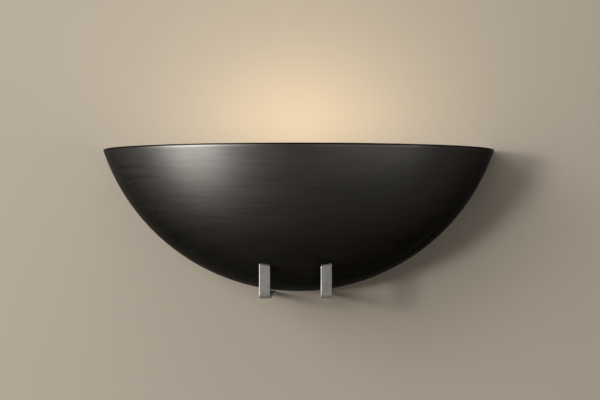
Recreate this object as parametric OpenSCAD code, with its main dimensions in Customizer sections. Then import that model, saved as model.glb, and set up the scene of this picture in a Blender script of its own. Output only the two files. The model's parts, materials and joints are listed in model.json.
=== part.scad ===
// Half-bowl uplighter for a wall. All sizes are in millimetres.
// The wall is the plane y = 0 and the light stands in front of it, towards -Y.
// +X is to the right, +Z is up, and the origin is midway between the two wall screws.

/* [Bowl] */
// Width of the bowl across its rim
bowl_w = 380; // [360:5:420]
// Height of the bowl from its lowest point to its rim
bowl_h = 137.5; // [132:0.5:145]
// Thickness of the spun sheet
bowl_t = 2.5; // [2:0.25:3.5]
// Gap between the bowl's cut back edge and the wall
bowl_back_gap = 0.5; // [0.3:0.1:1.5]
// Height of the rim above the wall screws
rim_z = 50; // [48:1:56]
// Bevel on the outer edge of the rim
rim_bevel = 0.5; // [0.3:0.1:1]

/* [Fingers] */
// Width of each flat bar that carries the bowl
finger_w = 10; // [8:0.5:12]
// Thickness of the flat bar
finger_t = 3; // [2.5:0.5:4]
// Distance between the two fingers, centre to centre
finger_pitch = 56; // [54:1:64]
// Distance from the wall to the front face of a fingertip
finger_reach = 104; // [96:1:112]
// Rise of a finger's arm from the wall to its tip
finger_rise = 3.3; // [2:0.1:5]
// Bend radius on the middle line of the bar
finger_bend = 3.5; // [2.5:0.5:5]
// Thickness of the pad between a fingertip and the bowl
pad_t = 0.9; // [0.6:0.1:1.2]

/* [Wall plate] */
// Width of the wall plate
plate_w = 120; // [116:2:136]
// Thickness of the wall plate
plate_t = 2; // [1.5:0.25:2.5]
// Height of the wall plate's top edge above the wall screws
plate_top = 16; // [14:0.5:18]
// Height of the wall plate's bottom edge above the bowl's lowest point
plate_foot = 19.5; // [18.5:0.5:21]
// Distance between the two wall screws
wall_screw_pitch = 90; // [84:1:96]
// Width of the slot for a wall screw
slot_w = 5; // [4:0.5:6]
// Length of the slot from end to end
slot_l = 12; // [9:0.5:14]
// Radius of the plate's corners
plate_corner = 6; // [3:1:10]
// Inside radius of the cable grommet
cable_r = 5; // [4:0.25:5.5]
// Radius of the hole for the cable grommet
grommet_r = 8; // [7:0.25:8.5]

/* [Hanging cleat] */
// Rise of the cleat's sloping lip above level, in degrees
cleat_angle = 30; // [24:1:32]
// Width of the wall plate's lip
cleat_w = 100; // [80:2:110]
// Length of the wall plate's lip
cleat_l = 10; // [8:0.5:12]
// Thickness of the bowl's hanging strap
strap_t = 1.5; // [1:0.25:2]
// Distance of the hanging strap below the rim
strap_drop = 8; // [6:0.5:10]

/* [Lamp gear] */
// Distance from the wall to the lamp's axis
lamp_out = 75; // [70:1:80]
// Distance of the lamp's axis below the rim
lamp_drop = 28; // [26:0.5:30]
// Length of the lamp over its two end caps
lamp_l = 117.6; // [112:0.2:119]
// Radius of the quartz tube
tube_r = 5.5; // [4.5:0.25:6.5]
// Radius of a lamp end cap
cap_r = 4; // [3.5:0.1:4.4]
// Travel of the sprung contact
plunger_travel = 4; // [3:0.25:4.5]
// Radius of the reflector, to its outer face
reflector_r = 26.5; // [24:0.25:27]
// Thickness of the reflector
reflector_t = 0.8; // [0.5:0.1:1.2]
// Thickness of the lamp arm
arm_t = 2; // [1.5:0.25:2.5]
// Width of the lamp arm
arm_w = 36; // [34:1:42]
// Thickness of the bracket that holds the two lampholders
bracket_t = 1.5; // [1:0.25:2]
// Depth of the bracket from front to back
bracket_d = 30; // [26:1:32]

/* [Wiring] */
// Width of the terminal block
block_w = 34; // [32:0.5:36]
// Height of the terminal block
block_h = 17; // [15:0.5:18]
// Depth of the terminal block
block_d = 13; // [11:0.5:14]
// Radius of a lead over its sleeve
lead_r = 1.1; // [0.8:0.1:1.3]
// Thickness of the shield over the terminal block
shield_t = 1; // [0.6:0.1:1.4]

/* [Hidden] */

$fn = 96;
// Amount by which a cutting shape runs past the face that it cuts
over = 1;
// Clearance between pieces that are fastened together
seat = 0.05;
// Clearance between pieces that part when the bowl lifts or the lamp moves
part_gap = 0.3;
// Amount by which two shapes of one piece run into each other
fuse = 0.01;

// Bowl: a cap of a sphere, cut in half by the wall
bowl_r = (pow(bowl_w / 2, 2) + bowl_h * bowl_h) / (2 * bowl_h);
bowl_in = bowl_r - bowl_t;
bowl_cz = rim_z - bowl_h + bowl_r;
bowl_bottom = rim_z - bowl_h;
plate_drop = -bowl_bottom - plate_foot;

// Screw thread sizes, taken as plain cylinders
m4_r = 2;
m4_nut_af = 7;
m4_nut_h = 3.2;
m4_head_r = 4;
m4_head_h = 2.4;
m3_r = 1.5;
m3_head_r = 2.8;
m3_head_h = 1.8;
hole_clear = 0.1;
screw_tail = 1.5;
// Top of a screw head and length of its cross slot, as shares of the head's radius
head_taper = 0.8;
slot_share = 0.6;
slot_thin = 0.37;

// Fingers
finger_x = finger_pitch / 2;
finger_arm_gap = 0.8;
finger_leg_h = 24;
finger_screw_edge = 6;
finger_screw_pitch = 12;
finger_leg_top = plate_drop - finger_leg_h;
finger_screw_low = plate_drop - finger_screw_edge;
finger_screw_high = finger_screw_low - finger_screw_pitch;
arm_wall_z = bowl_bottom - finger_arm_gap - finger_t / 2;
arm_tip_z = arm_wall_z + finger_rise;
// Below the plate the leg steps back to the wall, over a share of the room down to its arm
joggle_start = 1;
joggle_share = 0.3;
joggle_drop = (-plate_drop - joggle_start - arm_wall_z) * joggle_share;
joggle_bend = 1.5;
bend_steps = 10;
tip_cope_r = bowl_r + part_gap + pad_t;
notch_clear = 0.6;

// Wall plate and studs
stud_l = plate_t + finger_t + m4_nut_h + 1.8;
arm_stud_x = 11;
block_foot = 2;
cable_rise = 4;
block_top = block_foot + block_h - plate_drop;
cable_z = block_top + cable_rise + grommet_r;
grommet_lip = 2;
grommet_lip_w = 2.5;
earth_inset = 15;
earth_x = plate_w / 2 - earth_inset;
earth_rise = 38;
earth_z = earth_rise - plate_drop;

// Hanging strap, which lies on the plate's lip with a small gap
lip_root_z = plate_top + 3;
lip_offset = plate_t / 2 + part_gap + strap_t / 2;
lip_line = [plate_t / 2 - lip_offset * sin(cleat_angle), lip_root_z + lip_offset * cos(cleat_angle)];
strap_out = plate_t / 2 + cleat_l * cos(cleat_angle) + part_gap + strap_t;
strap_lip_in = plate_t + 1.2;
strap_bend = 2;
strap_lap = 4;
strap_w = cleat_w - 4;
lip_bend = 2;
strap_top = rim_z - strap_drop;
strap_bend_z = lip_line[1] + (strap_out - lip_line[0]) * tan(cleat_angle);
strap_tab_l = 25;
strap_tab_front = strap_out + strap_tab_l;
tab_out = bowl_in - seat;
stud_first = 7;
stud_pitch = 11;
stud_outs = [strap_out + stud_first, strap_out + stud_first + stud_pitch];
bowl_stud_z = (strap_bend_z + strap_top) / 2;
bowl_stud_l = 8;
washer_t = 0.8;
washer_r = 4.4;
washer_in = bowl_in - strap_t - 3 * seat;

// Lamp gear
lamp_z = rim_z - lamp_drop;
cap_end = lamp_l / 2;
cap_len = 12.8;
recess_d = 1.7;
recess_r = 2.2;
button_t = 0.5;
nose_r = 1.5;
nose_gap = 0.2;
pinch_w = 6;
pinch_t = 2.4;
tube_inset = 16.8;
tube_end = cap_end - tube_inset;
pinch_inset = 6.8;
pinch_end = cap_end - pinch_inset;
tube_wall = 1.1;
holder_grip = 6.8;
holder_in = cap_end - holder_grip;
holder_pocket = cap_end + plunger_travel + 0.7;
holder_d = 20;
holder_h = 26;
holder_base = lamp_z - 14;
holder_bevel = 1.2;
holder_screw_side = 6.5;
holder_screw_rise = 8.5;
holder_screw_l = 6.5;
pocket_r = cap_r + 1;
bore_r = 3.4;
head_r = bore_r - 0.08;
head_l = 3;
head_front = holder_pocket - 0.5;
shank_r = 1.2;
shank_l = 7;
ferrule_t = 0.7;
ferrule_lap = 3.5;
ferrule_end = 1;
stem_r = 1.6;
stem_l = 3;
spring_wire_r = 0.3;
spring_r = 2.6;
spring_turns = 4;
flange_t = 0.5;
bore_end = head_front + head_l + stem_l + plunger_travel + part_gap + flange_t;
holder_out = bore_end + 2.5;
bracket_x = holder_out + bracket_t / 2;
bracket_base = lamp_z - reflector_r;
arm_z = bracket_base - bracket_t - arm_t / 2;
arm_end = lamp_out + bracket_d / 2 + 7;
foot_rise = 18;
arm_stud_rise = 10;
arm_bend = 3;
bracket_bend = 2.5;
arm_stud_z = arm_z + arm_stud_rise;
reflector_l = 2 * (holder_in - 2);
reflector_lift = 10;
reflector_dish = 5;
rivet_x = 35;
rivet_r = 1.6;
rivet_head_r = 3;
rivet_head_h = 1;
filament_r = 1.1;
filament_wire_r = 0.25;
filament_turns = 24;
filament_end = tube_end - 6;
tube_neck = 3;
support_count = 5;
support_wire_r = 0.2;

// Terminal block
block_mid = block_top - block_h / 2;
pole_pitch = 11;
pole_out = plate_t + 6.5;
insert_r = 2.2;
insert_in = 1.5;
clamp_r = 1.4;
clamp_head_l = 1.5;
clamp_slot_w = 0.5;
clamp_slot_d = 0.7;
clamp_well = 0.6;
insert_end = 1;
counterbore = 4;
shield_tab_h = 7;
shield_bend = 1.5;
shield_w = 45;
shield_gap = 1.5;
shield_top = cable_z + grommet_r + grommet_lip_w + shield_gap;
shield_out = plate_t + block_d + 11;
shield_drop = block_top - block_h + 4;

// Routes of the leads as [x, distance from the wall, z], from the block to what they feed.
// Below the block they dip into shares of the room over the bowl's floor.
lead_exit_z = block_top - block_h;
lead_start_z = block_mid - 1;
lead_out = pole_out - 0.5;
lead_room = lead_exit_z - bowl_bottom - bowl_t;
lamp_dip = 0.26 * lead_room;
earth_dip = 0.46 * lead_room;
lead_end = holder_out + shank_l + ferrule_end + 2 * seat;
lead_rise = 30;
lead_swing = 19;
lead_loop = 10;
lamp_route = [
    [pole_pitch, pole_out, lead_start_z],
    [pole_pitch, pole_out, lead_exit_z + 2],
    [pole_pitch, pole_out, lead_exit_z - lamp_dip / 2],
    [pole_pitch + 4, lead_out, lead_exit_z - lamp_dip],
    [finger_x, lead_out, lead_exit_z - lamp_dip],
    [finger_x + 12, lead_out + 2, lead_exit_z],
    [finger_x + 22, lead_out + 6, block_top - 3],
    [plate_w / 2, lead_out + 14, block_mid + lead_rise],
    [lead_end - lead_loop, lamp_out / 2, lamp_z - lead_rise],
    [lead_end + 4, lamp_out - lead_swing, lamp_z - lead_swing + 3],
    [lead_end + lead_loop, lamp_out - 5, lamp_z - 5],
    [lead_end + 7, lamp_out, lamp_z],
    [lead_end + 2.5, lamp_out, lamp_z],
    [lead_end, lamp_out, lamp_z]
];
tag_t = 0.8;
tag_r = 4;
tag_w = 3;
barrel_r = lead_r + 0.4;
barrel_l = 4;
barrel_out = plate_t + seat + barrel_r;
barrel_end_z = earth_z - 9;
lead_stop_z = barrel_end_z - 2 * seat;
earth_route = [
    [0, pole_out, lead_start_z],
    [0, pole_out, lead_exit_z],
    [0, pole_out, lead_exit_z - earth_dip / 2],
    [pole_pitch / 2, lead_out, lead_exit_z - earth_dip],
    [finger_x, lead_out, lead_exit_z - earth_dip],
    [finger_x + 15, lead_out, lead_exit_z - earth_dip / 3],
    [earth_x + 4, lead_out - 1, barrel_end_z - 18],
    [earth_x + 2, barrel_out + 1, barrel_end_z - 10],
    [earth_x, barrel_out, barrel_end_z - 5],
    [earth_x, barrel_out, lead_stop_z - 2],
    [earth_x, barrel_out, lead_stop_z]
];
lead_sides = 8;
lead_steps = 4;

// Shape helpers

// Extrudes a side view, drawn as [distance from the wall, height], to a width about x = 0
module side_view(width) {
    rotate([90, 0, -90]) linear_extrude(width, center = true) children();
}

// Extrudes a front view, drawn as [x, z], from one distance from the wall to another
module front_view(near, far) {
    translate([0, -near, 0]) rotate([90, 0, 0]) linear_extrude(far - near) children();
}

// A cylinder along Y from one distance from the wall to another
module out_rod(x, z, r, near, far) {
    translate([x, -near, z]) rotate([90, 0, 0]) cylinder(h = far - near, r = r);
}

// A cylinder along X on the lamp's axis
module lamp_rod(r, from, to) {
    translate([from, -lamp_out, lamp_z]) rotate([0, 90, 0]) cylinder(h = to - from, r = r);
}

// A hexagon nut or its bore, along Z from the origin upwards
module nut(thread_r, flats, height) {
    difference() {
        cylinder(h = height, r = flats / sqrt(3), $fn = 6);
        translate([0, 0, -over]) cylinder(h = height + 2 * over, r = thread_r + seat);
    }
}

// A pan head with a cross slot, its shank running down from the origin
module screw(thread_r, head_r, head_h, length) {
    slot_half = head_r * slot_share;
    slot_t = slot_half * slot_thin;
    translate([0, 0, -length]) cylinder(h = length + fuse, r = thread_r);
    difference() {
        cylinder(h = head_h, r1 = head_r, r2 = head_r * head_taper);
        for (a = [0, 90]) {
            rotate([0, 0, a]) translate([-slot_half, -slot_t / 2, head_h / 2]) {
                cube([2 * slot_half, slot_t, head_h]);
            }
        }
    }
}

// Both sides of the bowl: the second is the mirror image of the first
module both_sides() {
    children();
    mirror([1, 0, 0]) children();
}

function unit(v) = v / norm(v);

// Stations [point, normal] along a bent strip: bends is a list of [point, bend radius]
function bend_stations(a, b, c, r, steps) =
    let (
        u = unit(b - a),
        v = unit(c - b),
        turn = atan2(u[0] * v[1] - u[1] * v[0], u * v),
        side = sign(turn),
        start = b - u * r * tan(abs(turn) / 2),
        centre = start + side * r * [-u[1], u[0]],
        first = atan2(start[1] - centre[1], start[0] - centre[0])
    )
    [for (i = [0:steps])
        let (angle = first + turn * i / steps, ray = [cos(angle), sin(angle)])
        [centre + r * ray, -side * ray]];

function strip_stations(path, radii, steps) =
    let (
        last = len(path) - 1,
        u = unit(path[1] - path[0]),
        v = unit(path[last] - path[last - 1])
    )
    concat(
        [[path[0], [-u[1], u[0]]]],
        [for (i = [1:last - 1]) each bend_stations(path[i - 1], path[i], path[i + 1], radii[i - 1], steps)],
        [[path[last], [-v[1], v[0]]]]
    );

// Outline of a bent strip of even thickness about its middle line
module bent_strip(path, radii, thickness, steps = 8) {
    stations = strip_stations(path, radii, steps);
    count = len(stations);
    polygon(concat(
        [for (s = stations) s[0] + s[1] * thickness / 2],
        [for (i = [count - 1:-1:0]) stations[i][0] - stations[i][1] * thickness / 2]
    ));
}

// A smooth curve through a list of points, with a number of steps a span
function curve_point(p, i, t) =
    let (
        a = p[max(i - 1, 0)],
        b = p[i],
        c = p[i + 1],
        d = p[min(i + 2, len(p) - 1)]
    )
    0.5 * (2 * b + (c - a) * t + (2 * a - 5 * b + 4 * c - d) * t * t + (3 * b - a - 3 * c + d) * t * t * t);

function smooth_curve(p, steps) = concat(
    [for (i = [0:len(p) - 2]) for (k = [0:steps - 1]) curve_point(p, i, k / steps)],
    [p[len(p) - 1]]
);

// Directions along a curve, and a side direction carried along it without twist
function directions(p) = [
    for (i = [0:len(p) - 1]) unit(p[min(i + 1, len(p) - 1)] - p[max(i - 1, 0)])
];

function carried(t, i, u) =
    i >= len(t) ? [] : let (w = unit(u - (u * t[i]) * t[i])) concat([w], carried(t, i + 1, w));

// A tube along a list of points
module tube(p, r, sides) {
    t = directions(p);
    start = abs(t[0][2]) < 0.9 ? [0, 0, 1] : [1, 0, 0];
    u = carried(t, 0, start);
    rings = len(p);
    points = [
        for (i = [0:rings - 1]) for (k = [0:sides - 1])
            let (a = 360 * k / sides) p[i] + r * (cos(a) * u[i] + sin(a) * cross(t[i], u[i]))
    ];
    walls = [
        for (i = [0:rings - 2]) for (k = [0:sides - 1])
            let (a = i * sides + k, b = i * sides + (k + 1) % sides)
            each [[a, a + sides, b], [b, a + sides, b + sides]]
    ];
    ends = [
        for (k = [1:sides - 2])
            each [[0, k, k + 1], [(rings - 1) * sides, (rings - 1) * sides + k + 1, (rings - 1) * sides + k]]
    ];
    polyhedron(points, concat(walls, ends));
}

// Points of a coil along X, and the least gap between one turn and the next
function coil(from, to, r, turns, steps) = [
    for (i = [0:turns * steps])
        [from + (to - from) * i / (turns * steps), r * cos(360 * i / steps), r * sin(360 * i / steps)]
];

function coil_gap(p, steps, wire_r) =
    min([for (i = [0:len(p) - 1 - steps]) for (k = [-1:1])
        norm(p[min(i + steps + k, len(p) - 1)] - p[i])]) - 2 * wire_r;

// A curve drawn as [x, distance from the wall, z]
function from_wall(p) = [for (q = p) [q[0], -q[1], q[2]]];

// Puts a piece on the bowl's inside, with its own Z pointing at the bowl's centre
module on_bowl(out, z, r) {
    x = sqrt(pow(bowl_in, 2) - pow(out, 2) - pow(z - bowl_cz, 2));
    ray = [x, -out, z - bowl_cz] / bowl_in;
    translate([0, 0, bowl_cz] + ray * r)
        rotate([0, 0, atan2(ray[1], ray[0])])
            rotate([0, -90 - asin(ray[2]), 0])
                children();
}

// Bowl and what is fixed to it

module bowl_section() {
    difference() {
        intersection() {
            translate([0, bowl_cz]) difference() {
                circle(r = bowl_r, $fn = 360);
                circle(r = bowl_in, $fn = 360);
            }
            translate([0, bowl_bottom - over]) square([bowl_w, rim_z - bowl_bottom + over]);
        }
        translate([bowl_w / 2 - rim_bevel, rim_z]) rotate(-45) {
            translate([0, -over]) square([2 * bowl_t, bowl_t + over]);
        }
    }
}

module bowl() {
    color([0.13, 0.12, 0.11]) difference() {
        rotate_extrude($fn = 360) bowl_section();
        translate([-bowl_w, -bowl_back_gap, bowl_bottom - over]) {
            cube([2 * bowl_w, bowl_w, bowl_h + 2 * over]);
        }
        both_sides() {
            translate([finger_x - finger_w / 2 - notch_clear, -finger_t - notch_clear, bowl_bottom - over]) {
                cube([finger_w + 2 * notch_clear, finger_t + 2 * notch_clear, bowl_t + 2 * over]);
            }
        }
    }
}

module hanging_strap() {
    color([0.55, 0.56, 0.57]) difference() {
        union() {
            intersection() {
                side_view(2 * bowl_w) {
                    translate([strap_out - strap_t / 2, strap_bend_z]) {
                        square([strap_t, strap_top - strap_bend_z]);
                    }
                }
                translate([0, 0, bowl_cz]) sphere(r = tab_out - strap_t / 2, $fn = 180);
            }
            side_view(strap_w) bent_strip(
                [[strap_lip_in, lip_line[1] + (strap_lip_in - lip_line[0]) * tan(cleat_angle)],
                    [strap_out, strap_bend_z], [strap_out, strap_bend_z + strap_lap]],
                [strap_bend], strap_t);
            both_sides() intersection() {
                translate([0, 0, bowl_cz]) difference() {
                    sphere(r = tab_out, $fn = 180);
                    sphere(r = tab_out - strap_t, $fn = 180);
                }
                translate([bowl_w / 4, -strap_tab_front, strap_bend_z]) {
                    cube([bowl_w / 2, strap_tab_front - strap_out + strap_t / 2, strap_top - strap_bend_z]);
                }
            }
        }
        both_sides() for (out = stud_outs) {
            on_bowl(out, bowl_stud_z, bowl_in) translate([0, 0, -over]) {
                cylinder(h = bowl_stud_l, r = m4_r + hole_clear);
            }
        }
    }
}

module bowl_studs() {
    color([0.72, 0.70, 0.66]) both_sides() for (out = stud_outs) {
        on_bowl(out, bowl_stud_z, bowl_in) translate([0, 0, seat]) cylinder(h = bowl_stud_l, r = m4_r);
    }
}

module stud_washers() {
    color([0.75, 0.75, 0.76]) both_sides() for (out = stud_outs) {
        on_bowl(out, bowl_stud_z, washer_in) difference() {
            cylinder(h = washer_t, r = washer_r);
            translate([0, 0, -over]) cylinder(h = washer_t + 2 * over, r = m4_r + hole_clear);
        }
    }
}

module stud_nuts() {
    color([0.75, 0.75, 0.76]) both_sides() for (out = stud_outs) {
        on_bowl(out, bowl_stud_z, washer_in - washer_t - seat) nut(m4_r, m4_nut_af, m4_nut_h);
    }
}

// Wall plate and what is fixed to it

module plate_outline() {
    translate([-plate_w / 2, -plate_drop + plate_corner]) {
        square([plate_w, plate_top + plate_drop - plate_corner]);
    }
    translate([-plate_w / 2 + plate_corner, -plate_drop]) square([plate_w - 2 * plate_corner, plate_corner]);
    for (side = [-1, 1]) {
        translate([side * (plate_w / 2 - plate_corner), -plate_drop + plate_corner]) circle(r = plate_corner);
    }
}

module wall_screw_slot() {
    straight = slot_l - slot_w;
    square([straight, slot_w], center = true);
    for (side = [-1, 1]) translate([side * straight / 2, 0]) circle(r = slot_w / 2);
}

module wall_plate() {
    color([0.80, 0.80, 0.78]) union() {
        front_view(0, plate_t) difference() {
            plate_outline();
            for (side = [-1, 1]) {
                translate([side * wall_screw_pitch / 2, 0]) wall_screw_slot();
                translate([side * finger_x, -finger_screw_low]) circle(r = m4_r + seat);
                translate([side * finger_x, -finger_screw_high]) circle(r = m4_r + seat);
                translate([side * arm_stud_x, arm_stud_z]) circle(r = m4_r + seat);
                translate([side * pole_pitch / 2, block_mid]) circle(r = m3_r - hole_clear);
            }
            translate([0, cable_z]) circle(r = grommet_r);
            translate([earth_x, earth_z]) circle(r = m4_r + seat);
        }
        side_view(cleat_w) bent_strip(
            [[plate_t / 2, plate_top - strap_lap], [plate_t / 2, lip_root_z],
                [plate_t / 2 + cleat_l * cos(cleat_angle), lip_root_z + cleat_l * sin(cleat_angle)]],
            [lip_bend], plate_t);
    }
}

module plate_studs() {
    color([0.72, 0.70, 0.66]) both_sides() {
        out_rod(finger_x, -finger_screw_low, m4_r, 0, stud_l);
        out_rod(finger_x, -finger_screw_high, m4_r, 0, stud_l);
        out_rod(arm_stud_x, arm_stud_z, m4_r, 0, stud_l);
    }
}

module plate_nuts() {
    arm_stack = plate_t + shield_t + arm_t;
    color([0.75, 0.75, 0.76]) both_sides() {
        for (z = [-finger_screw_low, -finger_screw_high]) {
            translate([finger_x, -plate_t - finger_t - seat, z]) rotate([90, 0, 0]) {
                nut(m4_r, m4_nut_af, m4_nut_h);
            }
        }
        translate([arm_stud_x, -arm_stack - 2 * seat, arm_stud_z]) rotate([90, 0, 0]) {
            nut(m4_r, m4_nut_af, m4_nut_h);
        }
    }
}

module cable_grommet() {
    color([0.08, 0.08, 0.08]) difference() {
        union() {
            out_rod(0, cable_z, grommet_r, 0, plate_t + grommet_lip);
            out_rod(0, cable_z, grommet_r + grommet_lip_w, plate_t, plate_t + grommet_lip);
        }
        out_rod(0, cable_z, cable_r, -over, plate_t + grommet_lip + over);
    }
}

// Fingers that carry the bowl

module finger() {
    leg = finger_t / 2;
    front = finger_reach - finger_t / 2;
    cope_top = bowl_cz - sqrt(pow(tip_cope_r, 2) - pow(finger_reach, 2) - pow(finger_x + finger_w / 2, 2));
    difference() {
        side_view(finger_w) bent_strip(
            [[plate_t + leg, -finger_leg_top], [plate_t + leg, -plate_drop - joggle_start],
                [leg, -plate_drop - joggle_start - joggle_drop], [leg, arm_wall_z],
                [front, arm_tip_z], [front, cope_top + over]],
            [joggle_bend, joggle_bend, finger_bend, finger_bend], finger_t, bend_steps);
        translate([0, -plate_t, -finger_screw_low]) rotate([90, 0, 0]) {
            translate([0, 0, -over]) cylinder(h = finger_t + 2 * over, r = m4_r + hole_clear);
        }
        translate([0, -plate_t, -finger_screw_high]) rotate([90, 0, 0]) {
            translate([0, 0, -over]) cylinder(h = finger_t + 2 * over, r = m4_r + hole_clear);
        }
    }
}

module right_finger() {
    color([0.70, 0.69, 0.67]) difference() {
        translate([finger_x, 0, 0]) finger();
        translate([0, 0, bowl_cz]) sphere(r = tip_cope_r, $fn = 360);
    }
}

module left_finger() {
    mirror([1, 0, 0]) right_finger();
}

module finger_pads() {
    color([0.10, 0.10, 0.10]) both_sides() intersection() {
        translate([finger_x - finger_w / 2, -finger_reach, bowl_bottom + finger_t]) {
            cube([finger_w, finger_t, bowl_h]);
        }
        translate([0, 0, bowl_cz]) difference() {
            sphere(r = tip_cope_r, $fn = 360);
            sphere(r = tip_cope_r - pad_t, $fn = 360);
        }
        translate([0, -bowl_w / 2, bowl_bottom]) cube([bowl_w / 2, bowl_w, bowl_h / 2]);
    }
}

// Terminal block, shield and earth

module terminal_block() {
    color([0.90, 0.89, 0.84]) difference() {
        translate([-block_w / 2, -plate_t - block_d, block_top - block_h]) cube([block_w, block_d, block_h]);
        for (x = [-pole_pitch, 0, pole_pitch]) {
            translate([x, -pole_out, block_top - block_h - over]) {
                cylinder(h = block_h + 2 * over, r = insert_r);
            }
            for (z = [block_mid - block_h / 4, block_mid + block_h / 4]) {
                out_rod(x, z, clamp_r + clamp_well, pole_out, plate_t + block_d + over);
            }
        }
        for (x = [-pole_pitch / 2, pole_pitch / 2]) {
            out_rod(x, block_mid, m3_r + hole_clear, plate_t - over, plate_t + block_d + over);
            out_rod(x, block_mid, m3_head_r + hole_clear, plate_t + counterbore, plate_t + block_d + over);
        }
    }
}

module terminal_inserts() {
    color([0.78, 0.62, 0.32]) for (x = [-pole_pitch, 0, pole_pitch]) difference() {
        translate([x, -pole_out, block_top - block_h + insert_end]) {
            cylinder(h = block_h - 2 * insert_end, r = insert_r - seat);
        }
        translate([x, -pole_out, block_top - block_h]) cylinder(h = block_h, r = insert_in);
        for (z = [block_mid - block_h / 4, block_mid + block_h / 4]) {
            out_rod(x, z, clamp_r, pole_out, plate_t + block_d);
        }
    }
}

module terminal_screws() {
    color([0.74, 0.73, 0.70]) for (x = [-pole_pitch, 0, pole_pitch]) {
        for (z = [block_mid - block_h / 4, block_mid + block_h / 4]) difference() {
            out_rod(x, z, clamp_r - seat, pole_out + lead_r + seat, plate_t + block_d - clamp_head_l);
            translate([x - clamp_r, -plate_t - block_d, z - clamp_slot_w / 2]) {
                cube([2 * clamp_r, clamp_head_l + clamp_slot_d, clamp_slot_w]);
            }
        }
    }
}

module block_screws() {
    color([0.74, 0.73, 0.70]) for (x = [-pole_pitch / 2, pole_pitch / 2]) {
        translate([x, -plate_t - counterbore - seat, block_mid]) rotate([90, 0, 0]) {
            screw(m3_r - hole_clear - seat, m3_head_r, m3_head_h, plate_t + counterbore - part_gap);
        }
    }
}

module terminal_shield() {
    tab = plate_t + shield_t / 2;
    color([0.72, 0.73, 0.74]) difference() {
        side_view(shield_w) bent_strip(
            [[tab, arm_stud_z + shield_tab_h], [tab, shield_top], [shield_out, shield_top],
                [shield_out, shield_drop]],
            [shield_bend, shield_bend], shield_t);
        both_sides() out_rod(arm_stud_x, arm_stud_z, m4_r + hole_clear, 0, shield_out / 2);
    }
}

module earth_stud() {
    color([0.80, 0.64, 0.33]) out_rod(earth_x, earth_z, m4_r, 0, stud_l);
}

module earth_tag() {
    color([0.80, 0.76, 0.66]) difference() {
        union() {
            out_rod(earth_x, earth_z, tag_r, plate_t + seat, plate_t + seat + tag_t);
            translate([earth_x - tag_w / 2, -plate_t - seat - tag_t, barrel_end_z + barrel_l]) {
                cube([tag_w, tag_t, earth_z - barrel_end_z - barrel_l]);
            }
            translate([earth_x, -barrel_out, barrel_end_z]) cylinder(h = barrel_l + seat, r = barrel_r);
        }
        out_rod(earth_x, earth_z, m4_r + hole_clear, 0, stud_l);
    }
}

module earth_washer() {
    near = plate_t + tag_t + 2 * seat;
    color([0.80, 0.64, 0.33]) difference() {
        out_rod(earth_x, earth_z, washer_r, near, near + washer_t);
        out_rod(earth_x, earth_z, m4_r + hole_clear, 0, stud_l);
    }
}

module earth_nut() {
    near = plate_t + tag_t + washer_t + 3 * seat;
    color([0.80, 0.64, 0.33]) translate([earth_x, -near, earth_z]) rotate([90, 0, 0]) {
        nut(m4_r, m4_nut_af, m4_nut_h);
    }
}

// Arm, bracket and reflector

module lamp_arm() {
    foot = plate_t + shield_t + seat + arm_t / 2;
    color([0.78, 0.78, 0.76]) difference() {
        side_view(arm_w) bent_strip(
            [[foot, arm_z + foot_rise], [foot, arm_z], [arm_end, arm_z]],
            [arm_bend], arm_t);
        both_sides() {
            out_rod(arm_stud_x, arm_stud_z, m4_r + hole_clear, plate_t, foot + arm_t);
            translate([arm_stud_x, -lamp_out, arm_z - arm_t]) cylinder(h = 2 * arm_t, r = m4_r + hole_clear);
        }
    }
}

module lamp_bracket() {
    middle = bracket_base - bracket_t / 2;
    top = holder_base + holder_h;
    near = lamp_out - bracket_d / 2;
    color([0.78, 0.78, 0.76]) difference() {
        front_view(near, near + bracket_d) bent_strip(
            [[-bracket_x, top], [-bracket_x, middle], [bracket_x, middle], [bracket_x, top]],
            [bracket_bend, bracket_bend], bracket_t);
        both_sides() {
            translate([arm_stud_x, -lamp_out, middle - bracket_t]) {
                cylinder(h = 2 * bracket_t, r = m4_r + hole_clear);
            }
            translate([rivet_x, -lamp_out, middle - bracket_t]) {
                cylinder(h = 2 * bracket_t, r = rivet_r + seat);
            }
            lamp_rod(pocket_r, holder_out - over, holder_out + bracket_t + over);
            for (side = [-1, 1]) holder_screw_place(side) {
                translate([0, 0, -over]) cylinder(h = bracket_t + 2 * over, r = m3_r + hole_clear);
            }
        }
    }
}

// A screw place on the outer face of the right lampholder, with Z pointing outwards
module holder_screw_place(side) {
    translate([holder_out, -lamp_out + side * holder_screw_side, lamp_z + side * holder_screw_rise]) {
        rotate([0, 90, 0]) children();
    }
}

module bracket_screws() {
    color([0.74, 0.73, 0.70]) both_sides() translate([arm_stud_x, -lamp_out, bracket_base + seat]) {
        screw(m4_r, m4_head_r, m4_head_h, bracket_t + arm_t + m4_nut_h + screw_tail);
    }
}

module bracket_nuts() {
    color([0.75, 0.75, 0.76]) both_sides() {
        translate([arm_stud_x, -lamp_out, arm_z - arm_t / 2 - seat - m4_nut_h]) {
            nut(m4_r, m4_nut_af, m4_nut_h);
        }
    }
}

module reflector() {
    middle_r = reflector_r - reflector_t / 2;
    color([0.88, 0.89, 0.90]) difference() {
        translate([0, -lamp_out, lamp_z]) rotate([90, 0, 90]) linear_extrude(reflector_l, center = true) {
            difference() {
                circle(r = reflector_r, $fn = 180);
                circle(r = middle_r - reflector_t / 2, $fn = 180);
                translate([-2 * reflector_r, -reflector_lift]) square(4 * reflector_r);
            }
        }
        both_sides() {
            translate([rivet_x, -lamp_out, bracket_base - over]) {
                cylinder(h = reflector_dish, r = rivet_r + seat);
            }
            translate([arm_stud_x, -lamp_out, bracket_base - over]) {
                cylinder(h = reflector_dish, r = m4_head_r + 2 * hole_clear);
            }
        }
    }
}

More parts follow.
